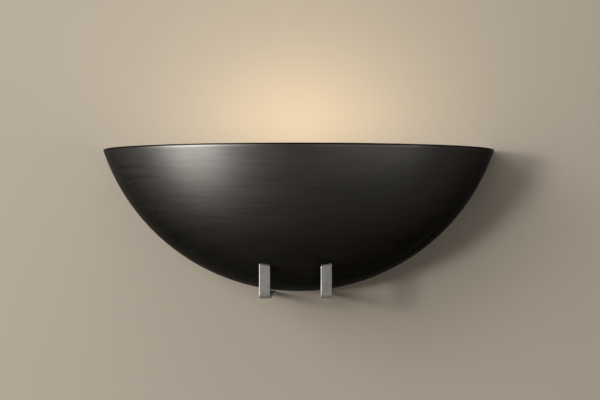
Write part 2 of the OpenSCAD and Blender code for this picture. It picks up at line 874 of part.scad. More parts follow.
module reflector_rivets() {
    top = bracket_base + reflector_t + part_gap;
    color([0.82, 0.82, 0.83]) both_sides() translate([rivet_x, -lamp_out, 0]) {
        translate([0, 0, bracket_base - bracket_t - rivet_head_h]) {
            cylinder(h = rivet_head_h, r1 = rivet_r, r2 = rivet_head_r * 0.8);
        }
        translate([0, 0, bracket_base - bracket_t - fuse]) {
            cylinder(h = top - bracket_base + bracket_t + 2 * fuse, r = rivet_r);
        }
        translate([0, 0, top]) cylinder(h = rivet_head_h, r1 = rivet_head_r, r2 = rivet_head_r * 0.6);
    }
}

// Lampholders and contacts

module lampholder_body() {
    difference() {
        translate([holder_in, -lamp_out - holder_d / 2, holder_base]) {
            cube([holder_out - holder_in, holder_d, holder_h]);
        }
        lamp_rod(pocket_r, holder_in - over, holder_pocket);
        translate([holder_in - over, -lamp_out - pocket_r, lamp_z]) {
            cube([holder_pocket - holder_in + over, 2 * pocket_r, holder_h]);
        }
        for (side = [-1, 1]) {
            translate([holder_in - over, -lamp_out + side * holder_d / 2, holder_base + holder_h]) {
                rotate([45, 0, 0]) translate([0, -holder_bevel, -holder_bevel]) {
                    cube([holder_out - holder_in + 2 * over, 2 * holder_bevel, 2 * holder_bevel]);
                }
            }
            holder_screw_place(side) translate([0, 0, -holder_screw_l - over]) {
                cylinder(h = holder_screw_l + 2 * over, r = m3_r - hole_clear);
            }
        }
    }
}

module right_lampholder() {
    color([0.93, 0.91, 0.86]) difference() {
        lampholder_body();
        lamp_rod(bore_r, holder_pocket - over, bore_end);
        lamp_rod(shank_r + hole_clear, bore_end - over, holder_out + over);
    }
}

module left_lampholder() {
    color([0.93, 0.91, 0.86]) mirror([1, 0, 0]) difference() {
        lampholder_body();
        lamp_rod(bore_r, holder_pocket - over, holder_pocket + head_l);
        lamp_rod(shank_r + hole_clear, holder_pocket, holder_out + over);
    }
}

module holder_screws() {
    color([0.74, 0.73, 0.70]) both_sides() for (side = [-1, 1]) holder_screw_place(side) {
        translate([0, 0, bracket_t + seat]) {
            screw(m3_r - hole_clear - seat, m3_head_r, m3_head_h, bracket_t + holder_screw_l);
        }
    }
}

module fixed_contact() {
    nose_tip = cap_end - recess_d + nose_gap;
    color([0.82, 0.66, 0.36]) mirror([1, 0, 0]) {
        lamp_rod(nose_r, nose_tip, holder_pocket + fuse);
        lamp_rod(head_r, holder_pocket, holder_pocket + head_l - seat);
        lamp_rod(shank_r, holder_pocket + head_l - seat - fuse, holder_out + shank_l);
    }
}

module sprung_contact() {
    nose_tip = cap_end - recess_d + nose_gap;
    color([0.82, 0.66, 0.36]) {
        lamp_rod(nose_r, nose_tip, head_front + fuse);
        lamp_rod(head_r, head_front, head_front + head_l);
        lamp_rod(stem_r, head_front + head_l - fuse, head_front + head_l + stem_l);
    }
}

spring_from = head_front + head_l + spring_wire_r + seat;
spring_to = bore_end - flange_t - spring_wire_r - seat;
spring_points = coil(spring_from, spring_to, spring_r, spring_turns, 8);

module contact_spring() {
    echo(contact_spring_least_gap = coil_gap(spring_points, 8, spring_wire_r));
    color([0.66, 0.67, 0.69]) translate([0, -lamp_out, lamp_z]) tube(spring_points, spring_wire_r, 6);
}

module rear_terminal() {
    color([0.82, 0.66, 0.36]) {
        lamp_rod(head_r, bore_end - flange_t, bore_end - seat);
        lamp_rod(shank_r, bore_end - flange_t, holder_out + shank_l);
    }
}

module lead_ferrules() {
    shank_end = holder_out + shank_l;
    color([0.80, 0.76, 0.66]) both_sides() difference() {
        lamp_rod(shank_r + ferrule_t, shank_end - ferrule_lap, shank_end + ferrule_end);
        lamp_rod(shank_r + seat, shank_end - ferrule_lap - over, shank_end);
    }
}

// Lamp

module lamp_tube() {
    color([0.85, 0.90, 0.95, 0.4]) {
        difference() {
            union() {
                lamp_rod(tube_r, -tube_end + tube_neck, tube_end - tube_neck);
                both_sides() translate([tube_end - tube_neck, -lamp_out, lamp_z]) rotate([0, 90, 0]) {
                    cylinder(h = tube_neck, r1 = tube_r, r2 = pinch_w / 2);
                }
                both_sides() translate([tube_end - tube_neck, -lamp_out - pinch_t / 2, lamp_z - pinch_w / 2]) {
                    cube([pinch_end - tube_end + tube_neck, pinch_t, pinch_w]);
                }
            }
            lamp_rod(tube_r - tube_wall, -tube_end + tube_neck, tube_end - tube_neck);
        }
    }
}

module lamp_caps() {
    color([0.92, 0.90, 0.85]) both_sides() difference() {
        lamp_rod(cap_r, cap_end - cap_len, cap_end);
        lamp_rod(recess_r, cap_end - recess_d - button_t - seat, cap_end + over);
        translate([cap_end - cap_len - over, -lamp_out - pinch_t / 2 - seat, lamp_z - pinch_w / 2 - seat]) {
            cube([pinch_end - cap_end + cap_len + over + seat, pinch_t + 2 * seat, pinch_w + 2 * seat]);
        }
    }
}

module lamp_contacts() {
    color([0.75, 0.74, 0.70]) both_sides() {
        lamp_rod(recess_r - seat, cap_end - recess_d - button_t, cap_end - recess_d);
    }
}

filament_points = coil(-filament_end, filament_end, filament_r, filament_turns, 8);

module filament() {
    start = [[-tube_end + tube_neck, 0, 0], [-filament_end - 1, 0, 0]];
    finish = [[filament_end + 1, 0, 0], [tube_end - tube_neck, 0, 0]];
    echo(filament_least_gap = coil_gap(filament_points, 8, filament_wire_r));
    color([1, 0.75, 0.4]) translate([0, -lamp_out, lamp_z]) {
        tube(concat(start, filament_points, finish), filament_wire_r, 6);
    }
}

module filament_supports() {
    ring_r = tube_r - tube_wall - support_wire_r - seat;
    span = 2 * filament_end / (support_count + 1);
    color([0.55, 0.55, 0.55]) for (i = [1:support_count]) {
        translate([-filament_end + span * i, -lamp_out, lamp_z]) rotate([0, 90, 0]) {
            rotate_extrude() translate([ring_r, 0]) circle(r = support_wire_r, $fn = 24);
        }
    }
}

// Leads

module live_lead() {
    color([0.75, 0.72, 0.66]) tube(smooth_curve(from_wall(lamp_route), lead_steps), lead_r, lead_sides);
}

module neutral_lead() {
    mirror([1, 0, 0]) live_lead();
}

module earth_lead() {
    color([0.45, 0.62, 0.20]) tube(smooth_curve(from_wall(earth_route), lead_steps), lead_r, lead_sides);
}

bowl();
hanging_strap();
bowl_studs();
stud_washers();
stud_nuts();
wall_plate();
plate_studs();
plate_nuts();
cable_grommet();
left_finger();
right_finger();
finger_pads();
terminal_block();
terminal_inserts();
terminal_screws();
block_screws();
terminal_shield();
earth_stud();
earth_tag();
earth_washer();
earth_nut();
lamp_arm();
lamp_bracket();
bracket_screws();
bracket_nuts();
reflector();
reflector_rivets();
left_lampholder();
right_lampholder();
holder_screws();
fixed_contact();
sprung_contact();
contact_spring();
rear_terminal();
lead_ferrules();
lamp_tube();
lamp_caps();
lamp_contacts();
filament();
filament_supports();
live_lead();
neutral_lead();
earth_lead();
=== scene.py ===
"""A half-bowl wall uplighter, dressed for rendering. Sizes are in metres, in the frame of the CAD."""

import json
import math

import bmesh
import bpy
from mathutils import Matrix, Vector

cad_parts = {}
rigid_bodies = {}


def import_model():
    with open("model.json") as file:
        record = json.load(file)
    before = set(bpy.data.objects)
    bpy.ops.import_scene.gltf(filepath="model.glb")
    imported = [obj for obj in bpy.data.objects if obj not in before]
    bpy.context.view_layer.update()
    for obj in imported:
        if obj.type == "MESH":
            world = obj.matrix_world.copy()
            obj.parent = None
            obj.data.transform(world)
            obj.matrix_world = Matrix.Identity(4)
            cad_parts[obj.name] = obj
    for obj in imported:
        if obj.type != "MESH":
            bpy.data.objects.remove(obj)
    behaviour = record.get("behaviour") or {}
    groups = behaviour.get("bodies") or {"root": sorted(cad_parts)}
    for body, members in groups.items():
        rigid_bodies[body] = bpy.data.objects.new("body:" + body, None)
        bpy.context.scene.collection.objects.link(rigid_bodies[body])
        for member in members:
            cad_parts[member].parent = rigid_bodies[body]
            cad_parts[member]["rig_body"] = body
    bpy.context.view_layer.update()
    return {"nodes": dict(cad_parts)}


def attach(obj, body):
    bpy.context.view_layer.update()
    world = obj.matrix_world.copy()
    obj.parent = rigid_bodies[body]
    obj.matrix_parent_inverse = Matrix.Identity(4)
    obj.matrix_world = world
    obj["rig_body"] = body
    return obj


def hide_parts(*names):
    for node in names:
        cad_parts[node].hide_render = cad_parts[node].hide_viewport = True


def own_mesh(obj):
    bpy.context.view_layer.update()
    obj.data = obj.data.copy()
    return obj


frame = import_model()

MM = 0.001
COLLECTION = bpy.context.scene.collection

# The bowl is a cap of a sphere, cut by the wall, as in the CAD.
BOWL_W = 380 * MM
BOWL_H = 137.5 * MM
BOWL_T = 2.5 * MM
RIM_Z = 50 * MM
BACK_GAP = 0.5 * MM
BOWL_R = ((BOWL_W / 2) ** 2 + BOWL_H**2) / (2 * BOWL_H)
BOWL_CZ = RIM_Z - BOWL_H + BOWL_R

# The fingers, and the notches that the bowl's back edge has for them
FINGER_X = 28 * MM
FINGER_W = 10 * MM
FINGER_T = 3 * MM
NOTCH_CLEAR = 0.6 * MM
NOTCH_RISE = 14 * MM
NOTCH_BELOW = 6 * MM

# The middle of the lamp, and the point that the soft lights are turned to
LAMP = Vector((0, -75 * MM, 22 * MM))
LIT_POINT = Vector((0, -80 * MM, 0))

# The camera that took the photo, fitted to the bowl's outline
FOCAL_PX = 1377
PHOTO_W = 600
SENSOR_W = 36
CAMERA_AT = Vector((38 * MM, -1350 * MM, 1.5 * MM))
CAMERA_YAW = math.radians(1.557)

# The wall and the floor
WALL_Y = 0.05 * MM
WALL_HALF = 3
WALL_TOP = 2.2
FLOOR_Z = -1.6
FLOOR_HALF = 4
FLOOR_FRONT = -5
FLOOR_BACK = 3


# Materials


class Graph:
    """A short way to write a material's nodes."""

    def __init__(self, name):
        self.material = bpy.data.materials.new(name)
        self.material.use_nodes = True
        self.nodes = self.material.node_tree.nodes
        self.links = self.material.node_tree.links
        self.nodes.clear()
        self.output = self.add("ShaderNodeOutputMaterial")
        self.shader = None

    def add(self, kind, **settings):
        node = self.nodes.new(kind)
        for key, value in settings.items():
            setattr(node, key, value)
        return node

    def feed(self, socket, value):
        """Gives a socket a link where value is a socket, and a constant otherwise."""
        if isinstance(value, bpy.types.NodeSocket):
            self.links.new(value, socket)
        else:
            socket.default_value = value

    def feed_colour(self, socket, value):
        self.feed(socket, value if isinstance(value, bpy.types.NodeSocket) else (*value, 1.0))

    def place(self, kind="Object"):
        return self.add("ShaderNodeTexCoord").outputs[kind]

    def parts(self, vector):
        node = self.add("ShaderNodeSeparateXYZ")
        self.feed(node.inputs[0], vector)
        return node.outputs

    def stretched(self, vector, scale, offset=(0, 0, 0)):
        node = self.add("ShaderNodeMapping")
        self.feed(node.inputs["Vector"], vector)
        node.inputs["Scale"].default_value = scale
        node.inputs["Location"].default_value = offset
        return node.outputs["Vector"]

    def drifted(self, vector, scale, reach):
        """vector, pushed about by a noise of that scale by up to reach."""
        wander = self.add("ShaderNodeTexNoise")
        self.feed(wander.inputs["Vector"], vector)
        wander.inputs["Scale"].default_value = scale
        push = self.add("ShaderNodeVectorMath", operation="SCALE")
        self.feed(push.inputs[0], wander.outputs["Color"])
        push.inputs["Scale"].default_value = reach
        moved = self.add("ShaderNodeVectorMath", operation="ADD")
        self.feed(moved.inputs[0], vector)
        self.feed(moved.inputs[1], push.outputs[0])
        return moved.outputs[0]

    def noise(self, vector, scale=1.0, detail=4.0, roughness=0.55):
        node = self.add("ShaderNodeTexNoise")
        self.feed(node.inputs["Vector"], vector)
        node.inputs["Scale"].default_value = scale
        node.inputs["Detail"].default_value = detail
        node.inputs["Roughness"].default_value = roughness
        return node.outputs["Fac"]

    def diagonals(self, vector, scale):
        node = self.add("ShaderNodeTexWave", wave_type="BANDS", bands_direction="DIAGONAL")
        self.feed(node.inputs["Vector"], vector)
        node.inputs["Scale"].default_value = scale
        return node.outputs["Fac"]

    def span(self, value, low, high, to_low=0.0, to_high=1.0):
        """value's stretch from low to high, laid over the stretch from to_low to to_high."""
        node = self.add("ShaderNodeMapRange")
        self.feed(node.inputs["Value"], value)
        for socket, number in zip(node.inputs[1:5], (low, high, to_low, to_high)):
            socket.default_value = number
        return node.outputs["Result"]

    def maths(self, operation, a, b=0.0):
        node = self.add("ShaderNodeMath", operation=operation)
        self.feed(node.inputs[0], a)
        self.feed(node.inputs[1], b)
        return node.outputs["Value"]

    def weighed(self, a, share, b):
        """The mean of a and b, in which a has that share of the weight."""
        return self.maths("ADD", self.maths("MULTIPLY", a, share), self.maths("MULTIPLY", b, 1 - share))

    def mixed(self, factor, a, b):
        """Colour a where factor is 0, and colour b where it is 1."""
        node = self.add("ShaderNodeMix", data_type="RGBA")
        self.feed(node.inputs[0], factor)
        self.feed_colour(node.inputs[6], a)
        self.feed_colour(node.inputs[7], b)
        return node.outputs[2]

    def bump(self, height, distance, strength):
        node = self.add("ShaderNodeBump")
        self.feed(node.inputs["Height"], height)
        node.inputs["Distance"].default_value = distance
        node.inputs["Strength"].default_value = strength
        return node.outputs["Normal"]

    def surface(self, colour, roughness, metallic=0.0, normal=None, tangent=None, **constants):
        self.shader = self.add("ShaderNodeBsdfPrincipled")
        inputs = self.shader.inputs
        self.feed_colour(inputs["Base Color"], colour)
        self.feed(inputs["Roughness"], roughness)
        inputs["Metallic"].default_value = metallic
        if normal is not None:
            self.feed(inputs["Normal"], normal)
        if tangent is not None:
            self.feed(inputs["Tangent"], tangent)
        for key, value in constants.items():
            inputs[key.replace("_", " ")].default_value = value
        self.links.new(self.shader.outputs[0], self.output.inputs["Surface"])
        return self.material


def bowl_bronze():
    """Dark bronze, spun and brushed round the bowl. It is darker towards the bottom as painted shade,
    with a painted highlight band and a painted dark reflection along the rim.

    Its UV is the way down the side from the rim and the way round the side, both in metres.
    """
    # Distances down the side from the rim. The first pair is where the painted shade of the lower bowl
    # begins and where it is full.
    shade_down = (5 * MM, 105 * MM)
    # Where the painted highlight band just below the rim's rounded edge lies.
    highlight_band_down = (3.4 * MM, 4.2 * MM)
    # Where the painted dark reflection along the top of the rim lies.
    dark_line_down = (2.1 * MM, 2.7 * MM)
    drift = 6 * MM

    g = Graph("bowl_bronze")
    uv = g.place("UV")
    down = g.parts(uv)[0]
    grain = g.drifted(uv, 13, drift)
    fine = g.noise(g.stretched(grain, (1500, 22, 1)), roughness=0.65)
    bands = g.noise(g.stretched(grain, (300, 13, 1), (3, 7, 0)), roughness=0.6)
    cloud = g.noise(g.stretched(grain, (34, 15, 1), (11, 2, 0)))

    tone = g.span(g.weighed(bands, 0.5, cloud), 0.30, 0.70)
    # The bronze of the upper bowl and a darker copy of it, both varying at random in tone. They are mixed
    # by the way down the side, so the darker copy is painted shade on the lower bowl.
    upper_bronze = g.mixed(tone, (0.050, 0.0483, 0.0455), (0.080, 0.0775, 0.0740))
    shaded_bronze = g.mixed(tone, (0.020, 0.0188, 0.016), (0.035, 0.0331, 0.029))
    shade_depth = g.maths("ADD", down, g.span(cloud, 0.3, 0.7, -12 * MM, 12 * MM))
    colour = g.mixed(g.span(shade_depth, *shade_down), upper_bronze, shaded_bronze)
    # A lighter band just below the rim's rounded edge: a painted highlight. The same band is also a
    # little smoother.
    edge = g.span(down, *highlight_band_down, 1.0, 0.0)
    colour = g.mixed(edge, colour, (0.094, 0.091, 0.086))
    # A near-black line along the top of the rim: a painted dark reflection.
    dark_line = g.span(down, *dark_line_down, 1.0, 0.0)
    colour = g.mixed(dark_line, colour, (0.010, 0.009, 0.008))

    rough = g.span(g.weighed(fine, 0.6, bands), 0.3, 0.7, 0.37, 0.49)
    rough = g.maths("SUBTRACT", rough, g.maths("MULTIPLY", edge, 0.06))
    normal = g.bump(fine, 0.02 * MM, 0.25)
    tangent = g.add("ShaderNodeTangent", direction_type="UV_MAP", uv_map="Brush").outputs[0]
    tint = (0.3, 0.3, 0.3, 1.0)
    return g.surface(colour, rough, 1.0, normal, tangent, Anisotropic=0.2, Specular_Tint=tint)


def bowl_enamel():
    """Satin heat-proof enamel inside the bowl, browned a little near the lamp."""
    warm_within = (50 * MM, 160 * MM)
    g = Graph("bowl_enamel")
    spot = g.place()
    to_lamp = g.add("ShaderNodeVectorMath", operation="DISTANCE")
    g.feed(to_lamp.inputs[0], spot)
    g.feed(to_lamp.inputs[1], LAMP)
    warm = g.span(to_lamp.outputs["Value"], *warm_within, 0.28, 0.0)
    cloud = g.span(g.noise(spot, 22), 0.35, 0.65)
    colour = g.mixed(cloud, (0.74, 0.73, 0.70), (0.80, 0.79, 0.76))
    colour = g.mixed(warm, colour, (0.70, 0.60, 0.44))
    rough = g.span(g.noise(spot, 900, 3), 0.3, 0.7, 0.30, 0.44)
    return g.surface(colour, rough, normal=g.bump(g.noise(spot, 420, 2), 0.08 * MM, 0.35))


def metal(name, dark, light, rough, grain, streak, anisotropic=0.0):
    """Bare or plated metal.

    grain is the scale of its brush marks along X, Y and Z, and streak their share of its tones.
    """
    g = Graph(name)
    spot = g.place()
    marks = g.noise(g.stretched(spot, grain), detail=5, roughness=0.65)
    mottle = g.noise(spot, 130)
    colour = g.mixed(g.span(g.weighed(marks, streak, mottle), 0.33, 0.67), dark, light)
    roughness = g.span(marks, 0.3, 0.7, *rough)
    return g.surface(colour, roughness, 1.0, g.bump(marks, 0.03 * MM, 0.5), Anisotropic=anisotropic)


def coating(name, dark, light, rough, grain, depth=0.04 * MM):
    """Paint, moulded plastic, ceramic or rubber: two close tones, a fine speckle and a fine bump."""
    g = Graph(name)
    spot = g.place()
    speckle = g.noise(spot, grain, roughness=0.6)
    cloud = g.noise(spot, grain / 14)
    colour = g.mixed(g.span(g.weighed(speckle, 0.4, cloud), 0.35, 0.65), dark, light)
    roughness = g.span(speckle, 0.3, 0.7, *rough)
    return g.surface(colour, roughness, normal=g.bump(speckle, depth, 0.5))


def braided_sleeve(name, dark, light, stripe=None):
    """A woven sleeve over a lead, with a stripe where there are two colours."""
    threads = 420
    stripes = 2600
    g = Graph(name)
    spot = g.place()
    mirrored = g.stretched(spot, (-1, 1, 1))
    weave = g.maths("MULTIPLY", g.diagonals(spot, threads), g.diagonals(mirrored, threads))
    colour = g.mixed(g.span(weave, 0.0, 0.8), dark, light)
    if stripe:
        band = g.maths("SINE", g.maths("MULTIPLY", g.parts(spot)[1], stripes))
        colour = g.mixed(g.span(band, -0.1, 0.1), colour, stripe)
    rough = g.span(weave, 0.0, 1.0, 0.62, 0.48)
    return g.surface(colour, rough, normal=g.bump(weave, 0.1 * MM, 0.6))


def quartz():
    """Clear quartz tube with faint draw marks along it and a little dust."""
    g = Graph("quartz")
    spot = g.place()
    wobble = g.noise(g.stretched(spot, (20, 260, 260)), detail=2)
    rough = g.span(g.noise(spot, 500, 3), 0.45, 0.75, 0.01, 0.08)
    normal = g.bump(wobble, 0.1 * MM, 0.3)
    return g.surface((0.97, 0.98, 0.99), rough, normal=normal, IOR=1.46, Transmission_Weight=1.0)


def glowing_wire():
    """Lit tungsten, cold at both ends, where it is held."""
    cold_from = 25 * MM
    cold_at = 34 * MM
    strength = 9.0
    g = Graph("glowing_wire")
    spot = g.place()
    hot = g.span(g.maths("ABSOLUTE", g.parts(spot)[0]), cold_from, cold_at, strength, 0.0)
    colour = g.mixed(g.noise(spot, 700, 3), (0.36, 0.30, 0.24), (0.50, 0.44, 0.36))
    made = g.surface(colour, 0.5, 1.0, Emission_Color=(1.0, 0.74, 0.42, 1.0))
    g.feed(g.shader.inputs["Emission Strength"], hot)
    made.cycles.emission_sampling = "NONE"
    return made


# The finishes, each with what metal(), coating() or braided_sleeve() takes after the name
METALS = {
    "nickel": ((0.22, 0.216, 0.205), (0.30, 0.296, 0.283), (0.37, 0.47), (2600, 40, 40), 0.7),
    "zinc_sheet": ((0.40, 0.41, 0.42), (0.60, 0.61, 0.61), (0.30, 0.46), (420, 420, 420), 0.35),
    "zinc_bright": ((0.52, 0.52, 0.50), (0.70, 0.69, 0.64), (0.20, 0.34), (900, 900, 900), 0.5),
    "anodised": ((0.76, 0.77, 0.78), (0.88, 0.89, 0.90), (0.12, 0.24), (18, 1500, 1500), 0.7, 0.5),
    "brass": ((0.56, 0.36, 0.12), (0.76, 0.55, 0.24), (0.20, 0.36), (800, 800, 800), 0.5),
    "tin": ((0.48, 0.46, 0.42), (0.66, 0.64, 0.58), (0.26, 0.42), (700, 700, 700), 0.4),
    "spring_steel": ((0.34, 0.34, 0.35), (0.52, 0.53, 0.54), (0.22, 0.36), (900, 900, 900), 0.5),
}
COATINGS = {
    "plate_paint": ((0.66, 0.65, 0.62), (0.76, 0.75, 0.72), (0.38, 0.52), 520),
    "rubber": ((0.016, 0.016, 0.016), (0.034, 0.033, 0.032), (0.62, 0.80), 900),
    "thermoset": ((0.64, 0.60, 0.50), (0.76, 0.73, 0.64), (0.40, 0.54), 640),
    "steatite": ((0.68, 0.65, 0.58), (0.82, 0.80, 0.74), (0.48, 0.66), 800, 0.06 * MM),
}
SLEEVES = {
    "sleeve_brown": ((0.10, 0.045, 0.02), (0.20, 0.10, 0.05)),
    "sleeve_blue": ((0.03, 0.08, 0.22), (0.07, 0.16, 0.36)),
    "sleeve_green": ((0.07, 0.22, 0.03), (0.13, 0.34, 0.06), (0.62, 0.52, 0.05)),
}
MATERIALS = {}
for make, looks in ((metal, METALS), (coating, COATINGS), (braided_sleeve, SLEEVES)):
    for name, look in looks.items():
        MATERIALS[name] = make(name, *look)
MATERIALS["quartz"] = quartz()
MATERIALS["glowing_wire"] = glowing_wire()

NODES_IN = {
    "nickel": ["left_finger", "right_finger"],
    "zinc_sheet": ["hanging_strap", "lamp_arm", "lamp_bracket", "terminal_shield"],
    "zinc_bright": [
        "bowl_studs", "stud_washers", "stud_nuts", "plate_studs", "plate_nuts", "terminal_screws",
        "block_screws", "bracket_screws", "bracket_nuts", "reflector_rivets", "holder_screws",
    ],
    "anodised": ["reflector"],
    "brass": [
        "terminal_inserts", "earth_stud", "earth_washer", "earth_nut",
        "fixed_contact", "sprung_contact", "rear_terminal",
    ],
    "tin": ["earth_tag", "lead_ferrules", "lamp_contacts", "filament_supports"],
    "spring_steel": ["contact_spring"],
    "plate_paint": ["wall_plate"],
    "rubber": ["cable_grommet", "finger_pads"],
    "thermoset": ["terminal_block"],
    "steatite": ["left_lampholder", "right_lampholder", "lamp_caps"],
    "sleeve_brown": ["live_lead"],
    "sleeve_blue": ["neutral_lead"],
    "sleeve_green": ["earth_lead"],
    "quartz": ["lamp_tube"],
    "glowing_wire": ["filament"],
}
FINISH_OF = {node: MATERIALS[name] for name, nodes in NODES_IN.items() for node in nodes}


# Meshes


def add_object(name, mesh, *materials):
    made = bpy.data.objects.new(name, mesh)
    COLLECTION.objects.link(made)
    for material in materials:
        mesh.materials.append(material)
    return made


def freeze(obj):
    """Turns an object's modifiers into its mesh."""
    graph = bpy.context.evaluated_depsgraph_get()
    mesh = bpy.data.meshes.new_from_object(obj.evaluated_get(graph))
    obj.modifiers.clear()
    obj.data = mesh


def stand_for(obj, *nodes):
    """obj takes the place and body of these CAD nodes, which are hidden."""
    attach(obj, frame["nodes"][nodes[0]]["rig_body"])
    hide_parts(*nodes)


def opened(mesh):
    """A mesh, open for work."""
    work = bmesh.new()
    work.from_mesh(mesh)
    return work


def write_back(work, mesh):
    """Ends the work and writes it into a mesh."""
    work.to_mesh(mesh)
    work.free()


def copied(node):
    """A copy of a CAD node's mesh, with its faces joined up again."""
    weld = 0.002 * MM
    mesh = frame["nodes"][node].data.copy()
    mesh.materials.clear()
    work = opened(mesh)
    bmesh.ops.remove_doubles(work, verts=work.verts, dist=weld)
    write_back(work, mesh)
    return mesh


def edged(node, width, segments=2, share=None):
    """A CAD node with its sharp edges broken by a small round.

    share is a function that gives the part of width that a sharp edge gets.
    """
    sharp = math.radians(38)
    same_plane = math.radians(1.5)
    mesh = copied(node)
    work = opened(mesh)
    bmesh.ops.dissolve_limit(
        work, angle_limit=same_plane, verts=work.verts, edges=work.edges, delimit={"NORMAL"}
    )
    if share:
        weights = work.edges.layers.float.new("bevel_weight_edge")
        for edge in work.edges:
            edge[weights] = share(edge) if edge.calc_face_angle(0) > sharp else 0
    write_back(work, mesh)
    mesh.shade_smooth()
    obj = add_object(node + "_edged", mesh, FINISH_OF[node])
    bevel = obj.modifiers.new("edges", "BEVEL")
    bevel.width = width
    bevel.segments = segments
    bevel.limit_method = "WEIGHT" if share else "ANGLE"
    bevel.angle_limit = sharp
    bevel.use_clamp_overlap = not share
    bevel.miter_outer = "MITER_ARC"
    flat = obj.modifiers.new("flat_faces", "WEIGHTED_NORMAL")
    flat.mode = "FACE_AREA"
    flat.weight = 100
    freeze(obj)
    stand_for(obj, node)


def rounded(node, levels=1):
    """A CAD tube with its few flat sides made round and its end faces kept flat."""
    any_angle = 3.1
    mesh = copied(node)
    work = opened(mesh)
    bmesh.ops.join_triangles(
        work, faces=work.faces, angle_face_threshold=any_angle, angle_shape_threshold=any_angle
    )
    crease = work.edges.layers.float.new("crease_edge")
    for edge in work.edges:
        if any(len(face.verts) > 4 for face in edge.link_faces):
            edge[crease] = 1.0
    write_back(work, mesh)
    mesh.shade_smooth()
    obj = add_object(node + "_round", mesh, FINISH_OF[node])
    smooth = obj.modifiers.new("round", "SUBSURF")
    smooth.levels = smooth.render_levels = levels
    freeze(obj)
    stand_for(obj, node)
    return obj


def wall_line(radius, edge_round, side):
    """One face of the bowl's wall from the pole to the rim, as (radius, height).

    It ends in a quarter turn of the rim's edge. side is 1 for the outside and -1 for the inside.
    """
    rows = 72
    turns = 6
    start = math.asin(BACK_GAP / radius)
    stop = math.acos((BOWL_CZ - RIM_Z + edge_round) / radius)
    line = []
    for i in range(rows + 1):
        angle = start + (stop - start) * i / rows
        line.append((radius * math.sin(angle), BOWL_CZ - radius * math.cos(angle)))
    edge_r = line[-1][0] - side * edge_round
    for i in range(1, turns + 1):
        angle = math.pi / 2 * i / turns
        out = edge_r + side * edge_round * math.cos(angle)
        line.append((out, RIM_Z - edge_round * (1 - math.sin(angle))))
    return line


def bowl_lines():
    """The outer and inner lines of the bowl's wall, which meet on top of the rim."""
    outer_round = 0.7 * MM
    inner_round = 0.5 * MM
    outer = wall_line(BOWL_R, outer_round, 1)
    inner = wall_line(BOWL_R - BOWL_T, inner_round, -1)
    middle = (outer[-1][0] + inner[-1][0]) / 2
    outer.append((middle, RIM_Z))
    inner.append((middle, RIM_Z))
    return outer, inner


def bowl_shell():
    """The bowl's mesh: its lines turned half a turn round Z, with flat edges at the wall."""
    columns = 200
    outside_slot = 0
    inside_slot = 1
    weld = 0.001 * MM
    work = bmesh.new()
    brush = work.loops.layers.uv.new("Brush")

    def add_face(verts, slot, flip=False):
        face = work.faces.new(verts[::-1] if flip else verts)
        face.material_index = slot
        return face

    def ring(radius, height):
        """A half turn of one point, which stops BACK_GAP short of the wall at both ends."""
        low = math.asin(min(1.0, BACK_GAP / radius))
        angles = [low + (math.pi - 2 * low) * j / columns for j in range(columns + 1)]
        return [work.verts.new((radius * math.cos(t), -radius * math.sin(t), height)) for t in angles]

    def turned(line, slot, flip):
        """Makes the faces of one line's half turn, and gives its rings of points."""
        pole = work.verts.new((0, -BACK_GAP, line[0][1]))
        rings = [[pole] * (columns + 1)] + [ring(*point) for point in line[1:]]
        steps = [math.dist(a, b) for a, b in zip(line, line[1:])]
        down = [sum(steps[i:]) for i in range(len(line))]
        for i in range(len(line) - 1):
            for j in range(columns):
                corners = [(i, j), (i, j + 1), (i + 1, j + 1), (i + 1, j)]
                if i == 0:
                    corners.pop(1)
                if flip:
                    corners.reverse()
                face = add_face([rings[a][b] for a, b in corners], slot)
                face.smooth = True
                for loop, (a, b) in zip(face.loops, corners):
                    loop[brush].uv = (down[a], math.pi * b / columns * BOWL_R)
        return rings

    outer, inner = bowl_lines()
    outside = turned(outer, outside_slot, False)
    inside = turned(inner, inside_slot, True)
    for i in range(len(outer) - 1):
        for j, flip in ((0, False), (columns, True)):
            corners = [outside[i][j], outside[i + 1][j], inside[i + 1][j], inside[i][j]]
            add_face(corners, inside_slot, flip)
    bmesh.ops.remove_doubles(work, verts=work.verts, dist=weld)
    bmesh.ops.recalc_face_normals(work, faces=work.faces)
    mesh = bpy.data.meshes.new("bowl_spun")
    write_back(work, mesh)
    return mesh


def notch_cutters():
    """Two blocks where the fingers pass the bowl's back edge."""
    wide = FINGER_W + 2 * NOTCH_CLEAR
    deep = 2 * (FINGER_T + NOTCH_CLEAR)
    tall = NOTCH_RISE + NOTCH_BELOW
    middle_z = BOWL_CZ - BOWL_R + (NOTCH_RISE - NOTCH_BELOW) / 2
    work = bmesh.new()
    for side in (-1, 1):
        block = bmesh.ops.create_cube(work, size=1.0)["verts"]
        bmesh.ops.scale(work, verts=block, vec=(wide, deep, tall))
        bmesh.ops.translate(work, verts=block, vec=(side * FINGER_X, 0, middle_z))
    mesh = bpy.data.meshes.new("notches")
    write_back(work, mesh)
    return add_object("notches", mesh)


def make_bowl():
    bowl = add_object("bowl_spun", bowl_shell(), bowl_bronze(), bowl_enamel())
    cutters = notch_cutters()
    notch = bowl.modifiers.new("notch", "BOOLEAN")
    notch.operation = "DIFFERENCE"
    notch.object = cutters
    notch.solver = "EXACT"
    freeze(bowl)
    bpy.data.objects.remove(cutters)
    stand_for(bowl, "bowl")


def finger_edge(edge):
    """A finger's long outer edges are well rounded, its inner ones less so, its ends only broken."""
    outer_share = 1.0
    inner_share = 0.4
    end_share = 0.15
    inside_hook = Vector((0, -50 * MM, -50 * MM))
    broad = [face for face in edge.link_faces if abs(face.normal.x) < 0.5]
    if len(broad) != 1:
        return end_share
    middle = (edge.verts[0].co + edge.verts[1].co) / 2
    faces_out = (middle - inside_hook).dot(broad[0].normal) > 0
    return outer_share if faces_out else inner_share


FINGER_ROUND = 0.6 * MM

